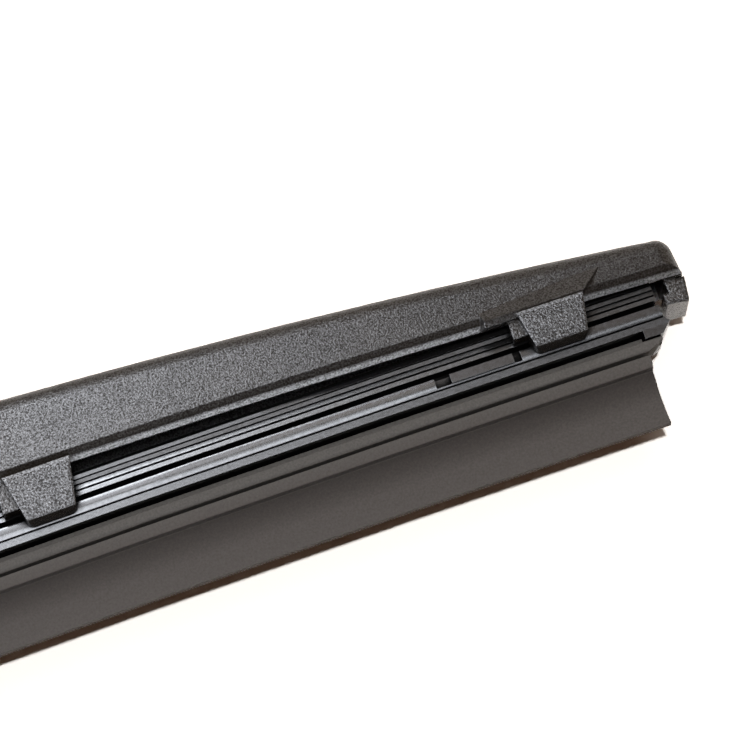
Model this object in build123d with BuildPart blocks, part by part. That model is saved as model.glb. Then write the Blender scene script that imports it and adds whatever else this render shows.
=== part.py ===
"""Rear-window wiper blade in black plastic, lying on its side.

X runs along the blade, Y from the wiping lip up to the spine, Z across the blade. The origin is the middle
of the blade's bounding box. Heights are measured from the carrier's underside, which bows towards the lip at
both ends, and all sizes are in millimetres.
"""
import os
from math import asin, cos, degrees, floor, radians, sin, sqrt, tan

from build123d import *

# Whole blade
blade_length = 305.0
half_width = 5.4
pivot_below_spine = 4.58
carrier_base = -5.0

# Bows of the three long lines, seen from the side
carrier_radius = 2600.0
rim_radius = 1833.0
spine_radius = 914.0
rim_height = 5.88
spine_height = 16.28

# Body shell
wall = 1.25
roof = 1.4
wall_draft = 10.0
spine_round = 1.9
inner_round = 0.8
rim_step = 0.15
rim_bevel = 1.0
rim_edge = 0.4
taper_length = 58.5
tip_clearance = 0.1
tip_round = 1.5
round_margin = 0.15

# End stops, which hang from the end walls
end_wall = 1.75
stop_proud = 0.15
stop_depth = 2.35
stop_half_width = 2.4
stop_ledge_drop = 0.1
stop_lean = 0.4
stop_height = 1.6
stop_bevel_height = 0.2
stop_bevel_width = 0.25
stop_bevel_lean = 0.1
stop_inner_lift = 0.35

# Claws that hold the carrier, with a saddle inside each pair
claw_inset = 13.05
claw_pitch = 48.35
claw_top_width = 6.35
claw_side_slope = 11.5
claw_corner = 0.6
claw_foot = 1.15
claw_foot_bevel = 0.3
claw_lean = 0.4
claw_overlap = 0.3
claw_rib_reach = 0.9
claw_clearance = 0.15
saddle_reach = 0.9
saddle_clearance = 0.2
cheek_rise = 0.5
cheek_bevel = 0.35
cheek_slope_height = 1.9
cheek_sink = 0.14
cheek_inner_end = 6.15
cheek_inner_bevel = 0.5
cheek_outer_end = 3.3
cheek_overhang = 2.9

# Hub that holds the pivot
hub_flat = 27.0
hub_length = 84.0
hub_wall = 1.8
hub_step = 0.7
hub_rise = 0.5
hub_dive = 1.2
hub_round = 1.2
hub_end_half_width = 2.6
window_length = 46.0
window_corner = 2.0

# Carrier extrusion
carrier_half_width = 3.2
carrier_end_gap = 1.05
sill_half_width = 2.95
sill_lean = 0.05
sill_height = 0.68
seam_width = 0.12
seam_depth = 0.2
band_top = 1.82
band_crown = 0.08
slot_height = 0.65
slot_depth = 2.2
strip_half_width = 2.65
strip_height = 2.38
strip_bands = ((0.0, 0.42), (0.6, 0.98), (1.14, 1.48), (1.62, 1.98))
strip_insets = ((0.0, 0.07), (0.08, 0.17), (0.24, 0.22), (0.26, 0.36))
strip_seam_depth = 0.3
strip_bevel = 0.4
sill_reach = 0.5
sill_nose = 0.2
carrier_chamfer = 1.1
carrier_skew = 2.0
skew_flat = 0.5
carrier_foot_length = 2.7
bump_length = 6.0
bump_inset = 20.62
bump_proud = 0.3
notch_depth = 0.8
notch_inner = 1.45
notch_outer = 0.75

# Rubber element
rubber_end_gap = 2.25
lip_setback = 1.6
bead_skew = 3.5
head_half_width = 1.9
head_height = 0.6
head_clearance = 0.1
neck_half_width = 0.5
groove_height = 0.88
bead_half_width = 2.75
bead_height = 1.05
bead_round = 0.25
slit_height = 0.35
hinge_half_width = 0.5
shoulder_half_width = 2.65
shoulder_height = 1.12
shoulder_draft = 0.2
lip_root_half_width = 1.45
lip_height = 4.93
lip_edge_half_width = 0.38
lip_hollow = 0.12
lip_end_bow = 0.15

# Pivot pin, and the adapter that swings on it
pin_radius = 2.0
pin_recess = 0.3
pin_seat_clearance = 0.02
pin_running_clearance = 0.05
adapter_side_clearance = 0.2
adapter_barrel_radius = 3.7
socket_bottom = 5.3
socket_height = 4.4
socket_mouth = 16.0
socket_depth = 19.0
socket_wall = 1.1
socket_corner = 0.8
latch_length = 4.0
latch_width = 3.0
latch_from_mouth = 6.0

# Sizes that follow from the ones above
half_length = blade_length / 2
taper_start = half_length - taper_length
pivot_height = spine_height - pivot_below_spine
body_end = half_length - stop_proud
rim_half_width = half_width - rim_step
tip_half_width = strip_half_width + tip_clearance + wall
slot_top = band_top + slot_height
slot_floor = carrier_half_width - slot_depth
carrier_height = slot_top + strip_height
claw_inner = carrier_half_width + claw_clearance
saddle_inner = strip_half_width + claw_clearance
carrier_end = body_end - end_wall - carrier_end_gap
rubber_end = body_end - end_wall - rubber_end_gap
bead_top = -groove_height
bead_bottom = bead_top - bead_height
shoulder_top = bead_bottom - slit_height
lip_top = shoulder_top - shoulder_height
lip_edge = lip_top - lip_height
throat = neck_half_width + head_clearance
channel_bottom = sill_height
channel_half_width = head_half_width + head_clearance
channel_top = channel_bottom + head_height + 2 * head_clearance
gap_half_width = half_width - hub_wall
tip_claw = half_length - claw_inset
claws_per_side = 1 + floor((tip_claw - hub_length / 2) / claw_pitch)
claw_places = [side * (tip_claw - i * claw_pitch) for side in (-1, 1) for i in range(claws_per_side)]
draft_slope = tan(radians(wall_draft))
bow_axis = Axis((0, carrier_base - carrier_radius, 0), (0, 0, 1))
pivot_plane = Plane(origin=(0, carrier_base + pivot_height, 0), x_dir=(1, 0, 0), z_dir=(0, 0, 1))


def bow(radius, x):
    """Drop towards the lip, at x, of a line with this bow."""
    return radius - sqrt(radius**2 - x**2)


def carrier_y(x):
    return carrier_base - bow(carrier_radius, x)


def rim_y(x):
    return carrier_base + rim_height - bow(rim_radius, x)


def spine_y(x):
    return carrier_base + spine_height - bow(spine_radius, x)


def rim_above_carrier(x):
    return rim_y(x) - carrier_y(x)


def body_half_width(x):
    """Half width of the body at its rim, which narrows in plan towards the tips."""
    past = max(0.0, abs(x) - taper_start) / taper_length
    return rim_half_width - (rim_half_width - tip_half_width) * past**2


def spine_corner(x):
    """Rounding of the body's upper corners at x, which leaves a margin of the wall below them."""
    return min(spine_round, spine_y(x) - rim_y(x) - rim_bevel - round_margin)


def cut_plane(x):
    """Plane square to X, whose own x is Y and whose own y is Z."""
    return Plane(origin=(x, 0, 0), x_dir=(0, 1, 0), z_dir=(1, 0, 0))


def side_plane(x):
    """Side view at a place on the carrier: own x along the carrier, own y the height above it."""
    lean = asin(x / carrier_radius)
    return Plane(origin=(x, carrier_y(x), 0), x_dir=(cos(lean), -sin(lean), 0), z_dir=(0, 0, 1))


def section_plane(x):
    """Section at a place on the carrier: own x the height above it, own y across the blade."""
    lean = asin(x / carrier_radius)
    along = (cos(lean), -sin(lean), 0)
    return Plane(origin=(x, carrier_y(x), 0), x_dir=(sin(lean), cos(lean), 0), z_dir=along)


def plan_plane(x):
    """Plan at a place on the carrier: own x along the carrier, own y across the blade, towards -Z."""
    lean = asin(x / carrier_radius)
    up = (sin(lean), cos(lean), 0)
    return Plane(origin=(x, carrier_y(x), 0), x_dir=(cos(lean), -sin(lean), 0), z_dir=up)


def with_mirror(points):
    """These height and half-width points, followed by their mirror images."""
    return points + [(height, -across) for height, across in reversed(points)]


def shell_profile(x, outline, corner):
    """Section of the body at x, with its two uppermost corners rounded."""
    with BuildSketch(cut_plane(x)) as profile:
        with BuildLine():
            Polyline(with_mirror(outline), close=True)
        make_face()
        fillet(profile.vertices().group_by(Axis.X)[-1], corner)
    return profile.sketch


def outer_profile(x):
    rim = rim_y(x)
    spine = spine_y(x)
    across = body_half_width(x)
    top = across - (spine - rim - rim_bevel) * draft_slope
    outline = [
        (rim, across - rim_bevel),
        (rim + rim_edge, across - rim_edge),
        (rim + rim_bevel, across),
        (spine, top),
    ]
    return shell_profile(x, outline, spine_corner(x))


def inner_profile(x):
    rim = rim_y(x)
    ceiling = spine_y(x) - roof
    across = body_half_width(x) - wall
    top = across - (ceiling - rim) * draft_slope
    corner = min(inner_round, ceiling - rim - round_margin)
    return shell_profile(x, [(rim - wall, across), (rim, across), (ceiling, top)], corner)


def loft_places(end):
    """Stations of a loft along the body, closer together where the tips narrow."""
    taper = end - taper_start
    half = [taper_start / 2, taper_start] + [taper_start + taper * share for share in (0.25, 0.5, 0.75, 1)]
    return [-x for x in reversed(half)] + [0.0] + half


def saddle_span(x):
    """Start and end, along the carrier, of the saddle at a pair of claws: it reaches towards the middle."""
    reach = claw_top_width / 2 + saddle_reach
    hidden = claw_top_width / 2 - saddle_reach
    return (-reach, hidden) if x > 0 else (-hidden, reach)


def make_claw_pair(x):
    """Two facing claws: tabs that lean in, a rib each for the carrier's slot, and saddle pads behind."""
    top = rim_above_carrier(x) + claw_overlap
    toe = claw_foot - claw_foot_bevel
    rib_bottom = band_top + claw_clearance / 2
    rib_top = slot_top - claw_clearance / 2
    rib_tip = claw_inner - claw_rib_reach
    toe_width = claw_top_width - 2 * (top - toe) * tan(radians(claw_side_slope))
    tab_outline = [
        (top, half_width),
        (claw_foot, half_width - claw_lean),
        (toe, claw_inner),
        (rib_bottom, claw_inner),
        (rib_bottom, rib_tip),
        (rib_top, rib_tip),
        (rib_top, claw_inner),
        (top, claw_inner),
    ]
    pad_outer = (claw_inner + half_width) / 2
    pad_bottom = slot_top + claw_clearance
    pad_start, pad_end = saddle_span(x)
    with BuildPart() as claw:
        with BuildSketch(section_plane(x)):
            with BuildLine():
                Polyline(tab_outline, close=True)
            make_face()
            mirror(about=Plane.XZ)
        extrude(amount=claw_top_width, both=True)
        with BuildSketch(side_plane(x)) as tab:
            with BuildLine():
                Polyline(
                    (-claw_top_width / 2, top),
                    (-toe_width / 2, toe),
                    (toe_width / 2, toe),
                    (claw_top_width / 2, top),
                    close=True,
                )
            make_face()
            fillet(tab.vertices().group_by(Axis.Y)[0], claw_corner)
        extrude(amount=2 * half_width, both=True, mode=Mode.INTERSECT)
        with BuildSketch(section_plane(x).offset(pad_start)):
            with BuildLine():
                Polyline(
                    (pad_bottom, saddle_inner),
                    (pad_bottom, pad_outer),
                    (top, pad_outer),
                    (top, saddle_inner),
                    close=True,
                )
            make_face()
            mirror(about=Plane.XZ)
        extrude(amount=pad_end - pad_start)
    return claw.part


def make_cheeks(side):
    """Wedges that carry the tip claws outside the narrowed tip of the body."""
    x = side * tip_claw
    rim = rim_above_carrier(x)
    across = body_half_width(x) - wall / 2
    face = half_width - rim_step
    crest = rim + cheek_rise + cheek_slope_height
    crest_across = body_half_width(x) - (crest - rim - rim_bevel) * draft_slope - cheek_sink
    with BuildPart() as cheeks:
        with BuildSketch(section_plane(x)):
            with BuildLine():
                Polyline(
                    (rim, across),
                    (rim, face - cheek_bevel),
                    (rim + cheek_rise, face),
                    (crest, crest_across),
                    (crest, across),
                    close=True,
                )
            make_face()
            mirror(about=Plane.XZ)
        extrude(amount=2 * cheek_inner_end, both=True)
        with BuildSketch(plan_plane(x)):
            with BuildLine():
                Polyline(
                    with_mirror([
                        (-side * (cheek_inner_end + cheek_inner_bevel), across),
                        (-side * cheek_inner_end, face),
                        (side * (cheek_outer_end + cheek_overhang), face),
                    ]),
                    close=True,
                )
            make_face()
        extrude(amount=2 * rim_height, both=True, mode=Mode.INTERSECT)
        with BuildSketch(Plane.XY * Location((x, carrier_y(x), 0))):
            with BuildLine():
                Polyline(
                    (-side * 2 * cheek_inner_end, 0),
                    (side * cheek_outer_end, 0),
                    (side * cheek_outer_end, rim),
                    (side * (cheek_outer_end + cheek_overhang), crest),
                    (-side * 2 * cheek_inner_end, 2 * crest),
                    close=True,
                )
            make_face()
        extrude(amount=half_width, both=True, mode=Mode.INTERSECT)
    return cheeks.part


def make_end_stop(side):
    """Tab with a bevelled foot that hangs from the end wall and keeps the carrier from sliding out."""
    rim = rim_above_carrier(body_end)
    top = rim + wall
    ledge = rim - stop_ledge_drop
    bevel_top = stop_height + stop_bevel_height
    foot_end = stop_proud - stop_lean - stop_bevel_lean
    with BuildPart() as stop:
        with BuildSketch(Plane.XY * Location((side * body_end, carrier_y(body_end), 0))):
            with BuildLine():
                Polyline(
                    (-side * stop_depth, top),
                    (-side * wall / 2, top),
                    (-side * wall / 2, ledge),
                    (side * stop_proud, ledge),
                    (side * (stop_proud - stop_lean), bevel_top),
                    (side * foot_end, stop_height),
                    (-side * stop_depth, stop_height + stop_inner_lift),
                    close=True,
                )
            make_face()
        extrude(amount=stop_half_width, both=True)
        with BuildSketch(cut_plane(0) * Location((carrier_y(body_end), 0, side * body_end))):
            with BuildLine():
                Polyline(
                    with_mirror([
                        (stop_height, stop_half_width - stop_bevel_width),
                        (bevel_top, stop_half_width),
                        (top, stop_half_width),
                    ]),
                    close=True,
                )
            make_face()
        extrude(amount=2 * stop_depth, both=True, mode=Mode.INTERSECT)
    return stop.part


# Hub: parallel walls at the middle of the body, whose ends run out into the shell
hub_end = hub_length / 2
hub_bottom = rim_y(0) + hub_step
hub_top = spine_y(0) + hub_rise
with BuildPart() as hub:
    extrude(
        shell_profile(-hub_end, [(hub_bottom, half_width), (hub_top, half_width)], hub_round),
        amount=hub_length,
    )
    with BuildSketch(Plane.XZ):
        with BuildLine():
            Polyline(
                with_mirror([
                    (-hub_end, hub_end_half_width),
                    (-hub_flat, half_width),
                    (hub_flat, half_width),
                    (hub_end, hub_end_half_width),
                ]),
                close=True,
            )
        make_face()
    extrude(amount=blade_length, both=True, mode=Mode.INTERSECT)
    with BuildSketch(Plane.XY):
        with BuildLine():
            Polyline(
                (-hub_end, hub_bottom),
                (-hub_end, spine_y(hub_end) - hub_dive),
                (-hub_flat, hub_top),
                (hub_flat, hub_top),
                (hub_end, spine_y(hub_end) - hub_dive),
                (hub_end, hub_bottom),
                close=True,
            )
        make_face()
    extrude(amount=half_width, both=True, mode=Mode.INTERSECT)

# Space inside the body, left out where a saddle ties the walls above each pair of claws
with BuildPart() as cavity:
    loft([inner_profile(x) for x in loft_places(body_end - end_wall)])
    for place in claw_places:
        saddle_start, saddle_end = saddle_span(place)
        with BuildSketch(side_plane(place)):
            with Locations((saddle_start, carrier_height + saddle_clearance)):
                Rectangle(saddle_end - saddle_start, spine_height, align=(Align.MIN, Align.MIN))
        extrude(amount=half_width, both=True, mode=Mode.SUBTRACT)

claw_pairs = [make_claw_pair(place) for place in claw_places]
tip_pieces = [make(side) for side in (-1, 1) for make in (make_cheeks, make_end_stop)]

with BuildPart() as body:
    loft([outer_profile(x) for x in loft_places(body_end)])
    end_faces = [body.faces().sort_by(Axis.X)[i] for i in (0, -1)]
    end_rims = [edge for face in end_faces for edge in face.edges().sort_by(Axis.Y)[-3:]]
    fillet(end_rims, min(tip_round, spine_corner(body_end) - round_margin))
    add(hub.part)
    add(tip_pieces)
    add(cavity.part, mode=Mode.SUBTRACT)
    with BuildSketch(Plane.XZ):
        RectangleRounded(window_length, 2 * gap_half_width, window_corner)
    extrude(amount=blade_length, both=True, mode=Mode.SUBTRACT)
    add(claw_pairs)
    with BuildSketch(pivot_plane):
        Circle(pin_radius + pin_seat_clearance)
    extrude(amount=half_width, both=True, mode=Mode.SUBTRACT)
body.part.label = "body"

# Carrier: one extruded profile bent to its bow, with lock bumps and notches near each end
band_edge = carrier_half_width - band_crown
band_bottom = sill_height + seam_width / 2
strip_edges = [
    (slot_top + height, strip_half_width - inset)
    for band, insets in zip(strip_bands, strip_insets)
    for height, inset in zip(band, insets)
]
strip_seams = [
    ((low[0] + high[0]) / 2, min(low[1], high[1]) - strip_seam_depth)
    for low, high in zip(strip_edges[1::2], strip_edges[2::2])
]
strip_outline = sorted(strip_edges + strip_seams)
strip_top = strip_outline[-1][1]
with BuildPart() as carrier:
    with BuildSketch(section_plane(0)):
        with BuildLine():
            Polyline(
                (carrier_height, 0),
                (channel_top, 0),
                (channel_top, channel_half_width),
                (channel_bottom, channel_half_width),
                (channel_bottom, throat),
                (0, throat),
                (0, sill_half_width - sill_lean),
                (sill_height - seam_width / 2, sill_half_width),
                (sill_height, sill_half_width - seam_depth),
                (band_bottom, band_edge),
            )
            ThreePointArc(
                (band_bottom, band_edge),
                ((band_bottom + band_top) / 2, carrier_half_width),
                (band_top, band_edge),
            )
            Polyline(
                (band_top, band_edge),
                (band_top, slot_floor),
                (slot_top, slot_floor),
                *strip_outline,
                (carrier_height, strip_top - strip_bevel),
                (carrier_height, 0),
            )
        make_face()
        mirror(about=Plane.XZ)
    revolve(axis=bow_axis, revolution_arc=degrees(asin(carrier_end / carrier_radius)))
    # Foot that fills the groove at the end of the profile, which is trimmed back above and below the sill
    with BuildSketch(section_plane(-carrier_end)):
        with BuildLine():
            Polyline(
                (bead_top + head_clearance, throat),
                (bead_top + head_clearance, sill_half_width - sill_lean),
                (sill_height / 2, sill_half_width - sill_lean),
                (sill_height / 2, throat),
                close=True,
            )
        make_face()
        mirror(about=Plane.XZ)
    extrude(amount=carrier_foot_length)
    with BuildSketch(side_plane(-carrier_end)):
        with BuildLine():
            Polyline(
                (-half_width, bead_top),
                (carrier_chamfer, bead_top),
                (0, sill_nose),
                (sill_reach, band_bottom),
                (sill_reach, spine_height),
                (-half_width, spine_height),
                close=True,
            )
        make_face()
    extrude(amount=half_width, both=True, mode=Mode.SUBTRACT)
    with BuildSketch(plan_plane(-carrier_end)):
        with BuildLine():
            Polyline(
                (0, skew_flat - carrier_half_width),
                (carrier_skew, half_width),
                (-half_width, half_width),
                (-half_width, skew_flat - carrier_half_width),
                close=True,
            )
        make_face()
    extrude(amount=spine_height, both=True, mode=Mode.SUBTRACT)
    # Lock bump on each side, with a notch at both of its ends that opens into the slot
    bump_middle = -(half_length - bump_inset)
    bump_foot = band_bottom + seam_width
    bump_top = band_top - seam_width
    notch_top = band_top + slot_height / 2
    notch_floor = band_edge - notch_depth
    inner_notch = (bump_length + notch_inner) / 2
    outer_notch = -(bump_length + notch_outer) / 2
    for inset, length, top, low, high, operation in (
        (0, bump_length, bump_top, notch_floor, band_edge + bump_proud, Mode.ADD),
        (outer_notch, notch_outer, notch_top, notch_floor, half_width, Mode.SUBTRACT),
        (inner_notch, notch_inner, notch_top, notch_floor, half_width, Mode.SUBTRACT),
    ):
        with BuildSketch(section_plane(bump_middle).offset(inset)):
            with Locations((bump_foot, low)):
                Rectangle(top - bump_foot, high - low, align=(Align.MIN, Align.MIN))
            mirror(about=Plane.XZ)
        extrude(amount=length / 2, both=True, mode=operation)
    mirror(about=Plane.YZ)
carrier.part.label = "carrier"

# Rubber element: head in the carrier, neck, bead, slit, shoulder and lip
head_bottom = channel_bottom + head_clearance
slit_middle = (bead_bottom + shoulder_top) / 2
with BuildPart() as wiping_rubber:
    with BuildSketch(section_plane(0)) as profile:
        with BuildLine():
            Polyline(
                (lip_edge, 0),
                (head_bottom + head_height, 0),
                (head_bottom + head_height, head_half_width),
                (head_bottom, head_half_width),
                (head_bottom, neck_half_width),
                (bead_top, neck_half_width),
                (bead_top, bead_half_width),
                (bead_bottom, bead_half_width),
                (bead_bottom, hinge_half_width),
                (shoulder_top, hinge_half_width),
                (shoulder_top, shoulder_half_width),
                (lip_top, shoulder_half_width - shoulder_draft),
                (lip_top, lip_root_half_width),
            )
            ThreePointArc(
                (lip_top, lip_root_half_width),
                ((lip_top + lip_edge) / 2, (lip_root_half_width + lip_edge_half_width) / 2 - lip_hollow),
                (lip_edge, lip_edge_half_width),
            )
            Line((lip_edge, lip_edge_half_width), (lip_edge, 0))
        make_face()
        fillet(profile.vertices().group_by(Axis.Y)[-1], bead_round)
        mirror(about=Plane.XZ)
    revolve(axis=bow_axis, revolution_arc=degrees(asin(rubber_end / carrier_radius)))
    # The lip ends short of the bead, in a slightly hollow cut, and the bead is cut askew
    with BuildSketch(side_plane(-rubber_end)):
        with BuildLine():
            Polyline(
                (lip_setback, lip_edge - slit_height),
                (-lip_setback, lip_edge - slit_height),
                (-lip_setback, bead_top - slit_height),
                (0, bead_top - slit_height),
                (lip_setback, bead_bottom),
                (lip_setback, slit_middle),
            )
            ThreePointArc(
                (lip_setback, slit_middle),
                (lip_setback + lip_end_bow, (lip_top + lip_edge) / 2),
                (lip_setback, lip_edge - slit_height),
            )
        make_face()
    extrude(amount=half_width, both=True, mode=Mode.SUBTRACT)
    with BuildSketch(plan_plane(-rubber_end).offset(slit_middle)):
        with BuildLine():
            Polyline(
                (0, skew_flat - bead_half_width),
                (bead_skew, half_width),
                (-half_width, half_width),
                (-half_width, skew_flat - bead_half_width),
                close=True,
            )
        make_face()
    extrude(amount=spine_height, mode=Mode.SUBTRACT)
    mirror(about=Plane.YZ)
wiping_rubber.part.label = "wiping_rubber"

# Pivot pin, flush inside the hub's two walls
with BuildPart() as pivot_pin:
    with BuildSketch(pivot_plane):
        Circle(pin_radius)
    extrude(amount=half_width - pin_recess, both=True)
pivot_pin.part.label = "pivot_pin"

# Adapter: a barrel on the pin, and above it a socket that the arm's end plugs into
adapter_half_width = gap_half_width - adapter_side_clearance
socket_back = socket_depth - socket_mouth
box_bottom = socket_bottom - socket_wall
box_top = socket_bottom + socket_height + socket_wall
box_back = socket_back + socket_wall
with BuildPart() as arm_adapter:
    with BuildSketch(pivot_plane) as outline:
        Circle(adapter_barrel_radius)
        with BuildLine():
            Polyline(
                (-adapter_barrel_radius, 0),
                (adapter_barrel_radius, 0),
                (box_back, box_bottom),
                (box_back, box_top),
                (-socket_mouth, box_top),
                (-socket_mouth, box_bottom),
                (-2 * adapter_barrel_radius, box_bottom),
                close=True,
            )
        make_face()
        fillet(outline.vertices().group_by(Axis.Y)[-1], socket_corner)
    extrude(amount=adapter_half_width, both=True)
    with BuildSketch(pivot_plane):
        with Locations((-socket_mouth, socket_bottom)):
            Rectangle(socket_depth, socket_height, align=(Align.MIN, Align.MIN))
    extrude(amount=adapter_half_width - socket_wall, both=True, mode=Mode.SUBTRACT)
    with BuildSketch(Plane.XZ.offset(-carrier_base - pivot_height - box_top)):
        with Locations((-socket_mouth + latch_from_mouth, 0)):
            Rectangle(latch_length, latch_width, align=(Align.MIN, Align.CENTER))
    extrude(amount=2 * socket_wall, both=True, mode=Mode.SUBTRACT)
    with BuildSketch(pivot_plane):
        Circle(pin_radius + pin_running_clearance)
    extrude(amount=half_width, both=True, mode=Mode.SUBTRACT)
arm_adapter.part.label = "arm_adapter"

os.makedirs("parts", exist_ok=True)
export_step(body.part, "parts/body.step")
export_step(carrier.part, "parts/carrier.step")
export_step(wiping_rubber.part, "parts/wiping_rubber.step")
export_step(pivot_pin.part, "parts/pivot_pin.step")
export_step(arm_adapter.part, "parts/arm_adapter.step")
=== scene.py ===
"""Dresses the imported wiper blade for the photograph's view: materials, table, studio light and camera."""
from math import cos, radians, sin

import bpy
from mathutils import Matrix, Vector


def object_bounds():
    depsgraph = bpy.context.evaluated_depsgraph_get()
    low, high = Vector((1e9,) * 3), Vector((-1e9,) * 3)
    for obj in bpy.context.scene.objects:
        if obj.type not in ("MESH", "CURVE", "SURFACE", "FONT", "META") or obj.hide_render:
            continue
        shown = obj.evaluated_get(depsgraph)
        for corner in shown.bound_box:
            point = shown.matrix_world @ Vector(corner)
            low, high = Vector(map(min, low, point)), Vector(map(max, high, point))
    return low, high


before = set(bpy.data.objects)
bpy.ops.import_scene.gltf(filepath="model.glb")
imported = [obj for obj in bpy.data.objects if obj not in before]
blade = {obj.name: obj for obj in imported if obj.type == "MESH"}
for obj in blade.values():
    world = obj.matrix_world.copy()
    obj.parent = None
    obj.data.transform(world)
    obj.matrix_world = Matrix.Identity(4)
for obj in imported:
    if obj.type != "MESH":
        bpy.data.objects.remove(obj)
cad_low, cad_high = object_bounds()
scene = bpy.context.scene
scene.view_settings.view_transform = "Standard"

mm = 0.001

# Camera: a long lens that looks down on the tip, in a picture of 750 by 750 pixels
picture_size = 750
focal_pixels = 4400
sensor = 36
view_turn = radians(22.25)
view_rise = radians(72)
view_target = Vector((123.18, -2.98, 0)) * mm
view_distance = 400 * mm
clip_near = 10 * mm
clip_far = 10

# Bows of the carrier's underside and of the body's rim, as height at the middle and radius in millimetres
carrier_bow = (-5.0, 2600)
rim_bow = (0.88, 1833)

# Moulded plastic: its grain, the sparkle, roughness and edges of walls and claws, and its cloudy colours
grain_per_mm = 6
grain_depth = 0.04
wall_sparkle = ((0.36, 0.1), (0.64, 0.6))
claw_sparkle = ((0.36, 0.1), (0.64, 1.0))
wall_roughness = 0.3
claw_roughness = 0.22
wall_edge = 0.15
claw_edge = 0.35
body_colours = ((0.35, (0.0195, 0.0160, 0.0130)), (0.65, (0.0265, 0.0215, 0.0175)))
adapter_colours = ((0.35, (0.034, 0.033, 0.032)), (0.65, (0.042, 0.041, 0.040)))

# Strength of the sparkle just above the body's rim, by share of this many millimetres: a painted highlight
# along the rim's edge and a band of painted shade just above it
rim_reach = 3
painted_rim_shine_bands = ((0.0, 2.6), (0.08, 2.5), (0.115, 1.0), (0.15, 0.5), (0.185, 0.75), (0.21, 1.0))

# Glossy plastic of the carrier
gloss = 0.85
gloss_depth = 0.004
gloss_roughness = ((0.3, 0.18), (0.7, 0.26))
carrier_colours = ((0.3, (0.005, 0.005, 0.0055)), (0.7, (0.008, 0.0078, 0.0078)))

# Upper land of the carrier's ribbed strip: its heights, its lean in the shading and where along it that ends
land_low = 4.07
land_high = 4.47
land_slope = 0.38
land_lean_end = 126
land_lean_fade = 14

# Rubber: its finish, and its colours with painted shade that darkens them towards the lip's root, by share
# of a span that starts at the wiping edge
rubber_edge_depth = 8.5
rubber_span = 9.0
rubber_gloss = 0.1
rubber_depth = 0.02
rubber_roughness = ((0.3, 0.62), (0.7, 0.78))
rubber_colours_with_painted_shade = (
    (0.0, (0.125, 0.113, 0.104)),
    (0.25, (0.115, 0.103, 0.095)),
    (0.42, (0.072, 0.062, 0.056)),
    (0.55, (0.056, 0.048, 0.043)),
    (0.58, (0.120, 0.108, 0.099)),
    (0.75, (0.138, 0.130, 0.121)),
)

# Rounding, in millimetres, of the edges of the extruded pieces
extruded_edge = 0.05

# Steel of the pin
steel_colours = ((0.3, (0.50, 0.50, 0.51)), (0.7, (0.60, 0.60, 0.61)))
steel_roughness = ((0.3, 0.25), (0.7, 0.40))

# Table and room
floor_size = 4
floor_colour = (0.5, 0.44, 0.38, 1)
bright_floor_colour = (1, 0.97, 0.93, 1)
room_colour = (0.03, 0.015, 0.008, 1)

# Soft boxes: name, place, aim and size in millimetres, brightness and colour
power_per_area = 4
white = (1, 1, 1)
cool_white = (0.95, 0.99, 1.07)
warm_white = (1.12, 1.0, 0.9)
view_middle = (123, 0, 0)
view_left = (110, 0, 0)
hub_side = (20, 0, 5)
lamp = ("lamp", (123, -105, 790), view_middle, (40, 40), 500, white)
sheet = ("sheet", (160, 200, 400), view_middle, (500, 400), 0.35, warm_white)
reflected_cards = (
    ("top_card", (60, -60, 790), view_middle, (280, 320), 9, cool_white),
    ("low_card", (76, 255, 250), view_left, (140, 135), 17, cool_white),
    ("back_card", (63, 146, 329), view_left, (140, 150), 4.5, cool_white),
    ("side_card", (160, 146, 329), view_middle, (55, 150), 0.8, warm_white),
    ("left_card", (-110, 20, 150), view_middle, (300, 300), 7, cool_white),
    ("front_card", (20, -110, 15), hub_side, (260, 45), 6.5, cool_white),
    ("far_card", (123, 500, 150), view_middle, (1200, 400), 0.6, warm_white),
    ("right_card", (500, 0, 150), view_middle, (600, 400), 0.6, warm_white),
)


def add_node(tree, kind, **settings):
    """A new node; a setting named after an input sets that input, and any other sets a property."""
    node = tree.nodes.new(kind)
    for name, value in settings.items():
        if name in node.inputs:
            node.inputs[name].default_value = value
        else:
            setattr(node, name, value)
    return node


def feed(tree, value, socket):
    """Sets a socket to a number, or links another socket to it."""
    if isinstance(value, (int, float)):
        socket.default_value = value
    else:
        tree.links.new(value, socket)


def math_node(tree, operation, first, second=0):
    """A maths node on two sockets or numbers."""
    node = add_node(tree, "ShaderNodeMath", operation=operation)
    feed(tree, first, node.inputs[0])
    feed(tree, second, node.inputs[1])
    return node.outputs[0]


def mix_node(tree, share, first, second):
    """Number that goes from the first to the second as the share goes from 0 to 1."""
    node = tree.nodes.new("ShaderNodeMix")
    tree.links.new(share, node.inputs[0])
    feed(tree, first, node.inputs[2])
    feed(tree, second, node.inputs[3])
    return node.outputs[0]


def clamped(tree, value, top):
    """This number, kept between 0 and the top."""
    return math_node(tree, "MAXIMUM", math_node(tree, "MINIMUM", value, top), 0)


def ramp_node(tree, factor, stops):
    """A colour ramp through (place, colour) stops, where a number stands for a grey."""
    node = tree.nodes.new("ShaderNodeValToRGB")
    elements = node.color_ramp.elements
    while len(elements) < len(stops):
        elements.new(0.5)
    for element, (place, colour) in zip(elements, stops):
        if isinstance(colour, (int, float)):
            colour = (colour, colour, colour)
        element.position = place
        element.color = (*colour, 1)
    tree.links.new(factor, node.inputs[0])
    return node.outputs[0]


def noise_node(tree, point, per_mm):
    """Noise with this many cells to the millimetre."""
    node = add_node(tree, "ShaderNodeTexNoise", Scale=per_mm, Detail=3)
    tree.links.new(point, node.inputs["Vector"])
    return node.outputs[0]


def bump_node(tree, height, depth_mm, edge):
    """Bumps of this depth on a surface whose edges look rounded to this radius, in metres."""
    rounded = add_node(tree, "ShaderNodeBevel", samples=4)
    feed(tree, edge, rounded.inputs["Radius"])
    node = add_node(tree, "ShaderNodeBump", Distance=depth_mm * mm)
    tree.links.new(height, node.inputs["Height"])
    tree.links.new(rounded.outputs[0], node.inputs["Normal"])
    return node.outputs[0]


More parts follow.
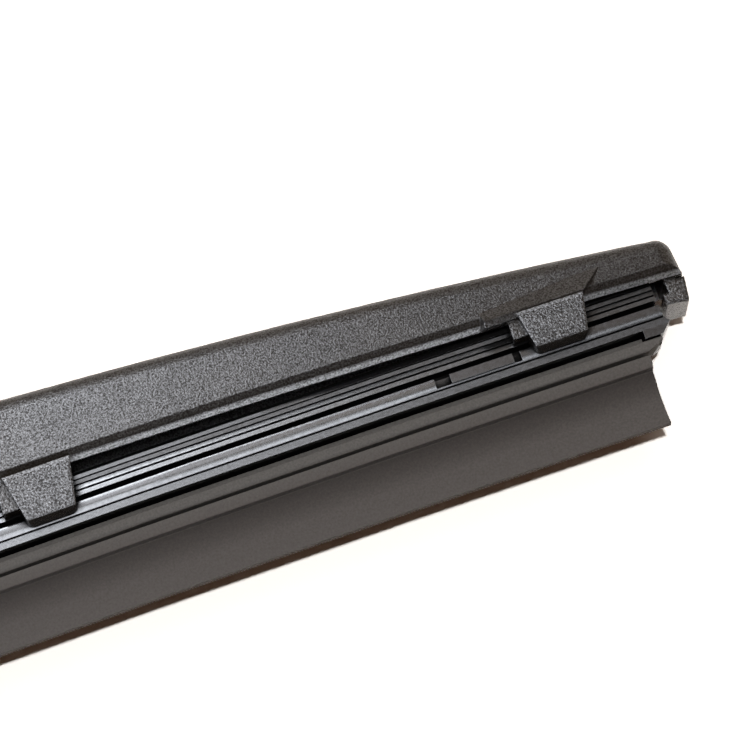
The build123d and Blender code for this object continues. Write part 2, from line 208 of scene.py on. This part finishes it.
def unshaded_share(tree, reach_mm, closed, open_from):
    """Share used to paint shade into recesses: goes from 0 in recesses to 1 on open surfaces, between these
    two shares of open sky.
    """
    sky = add_node(tree, "ShaderNodeAmbientOcclusion", samples=8, Distance=reach_mm * mm)
    return ramp_node(tree, sky.outputs["AO"], ((closed, 0), (open_from, 1)))


def coordinate(tree, point, axis):
    """One coordinate of the surface point, in millimetres."""
    split = tree.nodes.new("ShaderNodeSeparateXYZ")
    tree.links.new(point, split.inputs[0])
    return split.outputs[axis]


def height_above(tree, point, bow):
    """Height in millimetres above a bowed line along the blade."""
    middle, radius = bow
    x = coordinate(tree, point, "X")
    drop = math_node(tree, "DIVIDE", math_node(tree, "MULTIPLY", x, x), 2 * radius)
    rise = math_node(tree, "SUBTRACT", coordinate(tree, point, "Y"), middle)
    return math_node(tree, "ADD", rise, drop)


def land_relief(tree, point):
    """Height in millimetres of the relief that leans the strip's upper land, except near the tips."""
    above_land = math_node(tree, "SUBTRACT", height_above(tree, point, carrier_bow), land_low)
    rise = math_node(tree, "MULTIPLY", clamped(tree, above_land, land_high - land_low), land_slope)
    from_middle = math_node(tree, "ABSOLUTE", coordinate(tree, point, "X"))
    to_end = math_node(tree, "SUBTRACT", land_lean_end, from_middle)
    lean = clamped(tree, math_node(tree, "DIVIDE", to_end, land_lean_fade), 1)
    return math_node(tree, "MULTIPLY", rise, lean)


def speckled(tree, colour, speck, low, high):
    """This colour, darker and lighter with the speck."""
    scale = math_node(tree, "ADD", math_node(tree, "MULTIPLY", speck, high - low), low)
    node = add_node(tree, "ShaderNodeVectorMath", operation="SCALE")
    tree.links.new(colour, node.inputs[0])
    tree.links.new(scale, node.inputs["Scale"])
    return node.outputs[0]


def new_material(name):
    """A node material, with its tree, its shader and the surface point in millimetres."""
    material = bpy.data.materials.new(name)
    material.use_nodes = True
    tree = material.node_tree
    shader = tree.nodes["Principled BSDF"]
    place = tree.nodes.new("ShaderNodeTexCoord")
    point = add_node(tree, "ShaderNodeVectorMath", operation="SCALE", Scale=1 / mm)
    tree.links.new(place.outputs["Object"], point.inputs[0])
    return material, tree, shader, point.outputs[0]


def grained_plastic(name, colours):
    """Moulded plastic with a fine grain, glossier and with rounder edges on the claws below the rim; its
    shine carries a painted highlight and painted shade along the rim, and painted shade in its recesses.
    """
    material, tree, shader, point = new_material(name)
    height = height_above(tree, point, rim_bow)
    claw = math_node(tree, "LESS_THAN", height, 0)
    grain = noise_node(tree, point, grain_per_mm)
    rim_share = math_node(tree, "DIVIDE", height, rim_reach)
    # Painted highlight at the rim's edge and painted shade just above it, set into the strength of the
    # sparkle
    painted_rim_shine = ramp_node(tree, rim_share, painted_rim_shine_bands)
    on_wall = math_node(tree, "MULTIPLY", ramp_node(tree, grain, wall_sparkle), painted_rim_shine)
    sparkle = mix_node(tree, claw, on_wall, ramp_node(tree, grain, claw_sparkle))
    # Painted shade: the shine fades out in recesses
    shine_with_painted_shade = math_node(tree, "MULTIPLY", sparkle, unshaded_share(tree, reach_mm=2, closed=0.3, open_from=0.8))
    cloud = noise_node(tree, point, per_mm=0.15)
    colour = speckled(tree, ramp_node(tree, cloud, colours), grain, low=0.5, high=1.5)
    edge = mix_node(tree, claw, wall_edge * mm, claw_edge * mm)
    tree.links.new(colour, shader.inputs["Base Color"])
    tree.links.new(shine_with_painted_shade, shader.inputs["Specular IOR Level"])
    tree.links.new(mix_node(tree, claw, wall_roughness, claw_roughness), shader.inputs["Roughness"])
    tree.links.new(bump_node(tree, grain, grain_depth, edge), shader.inputs["Normal"])
    return material


def glossy_plastic(name):
    """Extruded glossy black plastic, a little cloudy, with painted shade in its recesses, where its shine is
    taken away.
    """
    material, tree, shader, point = new_material(name)
    # Painted shade: the shine fades out in recesses
    shine_with_painted_shade = math_node(tree, "MULTIPLY", unshaded_share(tree, reach_mm=1.4, closed=0.55, open_from=0.8), gloss)
    cloud = noise_node(tree, point, per_mm=0.1)
    speck = noise_node(tree, point, per_mm=3)
    lean = math_node(tree, "DIVIDE", land_relief(tree, point), gloss_depth)
    relief = math_node(tree, "ADD", speck, lean)
    tree.links.new(ramp_node(tree, cloud, carrier_colours), shader.inputs["Base Color"])
    tree.links.new(shine_with_painted_shade, shader.inputs["Specular IOR Level"])
    tree.links.new(ramp_node(tree, speck, gloss_roughness), shader.inputs["Roughness"])
    tree.links.new(bump_node(tree, relief, gloss_depth, extruded_edge * mm), shader.inputs["Normal"])
    return material


def matt_rubber(name):
    """Rubber with painted shade that makes it darkest at the lip's root, with a faint speckle."""
    material, tree, shader, point = new_material(name)
    shader.inputs["Specular IOR Level"].default_value = rubber_gloss
    above_edge = math_node(tree, "ADD", height_above(tree, point, carrier_bow), rubber_edge_depth)
    share = math_node(tree, "DIVIDE", above_edge, rubber_span)
    speck = noise_node(tree, point, per_mm=5)
    # Colours by height, with painted shade darkest at the lip's root
    colour = speckled(tree, ramp_node(tree, share, rubber_colours_with_painted_shade), speck, low=0.6, high=1.4)
    tree.links.new(colour, shader.inputs["Base Color"])
    tree.links.new(ramp_node(tree, speck, rubber_roughness), shader.inputs["Roughness"])
    tree.links.new(bump_node(tree, speck, rubber_depth, extruded_edge * mm), shader.inputs["Normal"])
    return material


def turned_steel(name):
    """Steel with a fine, uneven shine."""
    material, tree, shader, point = new_material(name)
    shader.inputs["Metallic"].default_value = 1
    speck = noise_node(tree, point, per_mm=8)
    tree.links.new(ramp_node(tree, speck, steel_colours), shader.inputs["Base Color"])
    tree.links.new(ramp_node(tree, speck, steel_roughness), shader.inputs["Roughness"])
    return material


def dress(piece, material):
    """Gives a piece one material in place of its own."""
    piece.data.materials.clear()
    piece.data.materials.append(material)


def make_floor():
    """White table under the blade, over-exposed as in the photograph where it is seen or mirrored."""
    bpy.ops.mesh.primitive_plane_add(size=floor_size, location=(0, 0, cad_low[2]))
    floor = bpy.context.object
    floor.name = "floor"
    material = bpy.data.materials.new("floor")
    material.use_nodes = True
    tree = material.node_tree
    tree.nodes.clear()
    plain = add_node(tree, "ShaderNodeBsdfDiffuse", Color=floor_colour)
    bright = add_node(tree, "ShaderNodeBsdfDiffuse", Color=bright_floor_colour)
    twice = tree.nodes.new("ShaderNodeAddShader")
    pick = tree.nodes.new("ShaderNodeMixShader")
    rays = tree.nodes.new("ShaderNodeLightPath").outputs
    output = tree.nodes.new("ShaderNodeOutputMaterial")
    mirrored = math_node(tree, "MAXIMUM", rays["Is Glossy Ray"], rays["Is Transmission Ray"])
    shown = math_node(tree, "MAXIMUM", rays["Is Camera Ray"], mirrored)
    tree.links.new(bright.outputs[0], twice.inputs[0])
    tree.links.new(bright.outputs[0], twice.inputs[1])
    tree.links.new(shown, pick.inputs[0])
    tree.links.new(plain.outputs[0], pick.inputs[1])
    tree.links.new(twice.outputs[0], pick.inputs[2])
    tree.links.new(pick.outputs[0], output.inputs["Surface"])
    dress(floor, material)


def make_world():
    """A dim warm room."""
    world = bpy.data.worlds.new("studio")
    scene.world = world
    world.use_nodes = True
    world.node_tree.nodes["Background"].inputs["Color"].default_value = room_colour


def soft_box(name, place, aim, size, brightness, colour):
    """A rectangular light, unseen by the camera itself."""
    width, height = size
    data = bpy.data.lights.new(name, "AREA")
    data.shape = "RECTANGLE"
    data.size = width * mm
    data.size_y = height * mm
    data.energy = power_per_area * data.size * data.size_y * brightness
    data.color = colour
    light = bpy.data.objects.new(name, data)
    scene.collection.objects.link(light)
    light.location = Vector(place) * mm
    direction = Vector(aim) * mm - light.location
    light.rotation_euler = direction.to_track_quat("-Z", "Y").to_euler()
    light.visible_camera = False
    return light


def make_lights():
    """A lamp without a reflection, a soft sheet, and cards that show only in reflections."""
    soft_box(*lamp).visible_glossy = False
    soft_box(*sheet)
    for card in reflected_cards:
        soft_box(*card).visible_diffuse = False


def make_camera():
    """The photograph's view."""
    right = Vector((cos(view_turn), -sin(view_turn), 0))
    level = Vector((sin(view_turn), cos(view_turn), 0))
    forward = level * cos(view_rise) - Vector((0, 0, sin(view_rise)))
    up = right.cross(forward)
    data = bpy.data.cameras.new("camera")
    data.sensor_width = sensor
    data.lens = sensor * focal_pixels / picture_size
    data.clip_start = clip_near
    data.clip_end = clip_far
    camera = bpy.data.objects.new("camera", data)
    scene.collection.objects.link(camera)
    camera.matrix_world = Matrix((right, up, -forward)).transposed().to_4x4()
    camera.location = view_target - forward * view_distance
    scene.camera = camera


dress(blade["body"], grained_plastic("body_plastic", body_colours))
dress(blade["carrier"], glossy_plastic("carrier_plastic"))
dress(blade["wiping_rubber"], matt_rubber("wiping_rubber"))
dress(blade["pivot_pin"], turned_steel("pin_steel"))
dress(blade["arm_adapter"], grained_plastic("adapter_plastic", adapter_colours))
make_floor()
make_world()
make_lights()
make_camera()
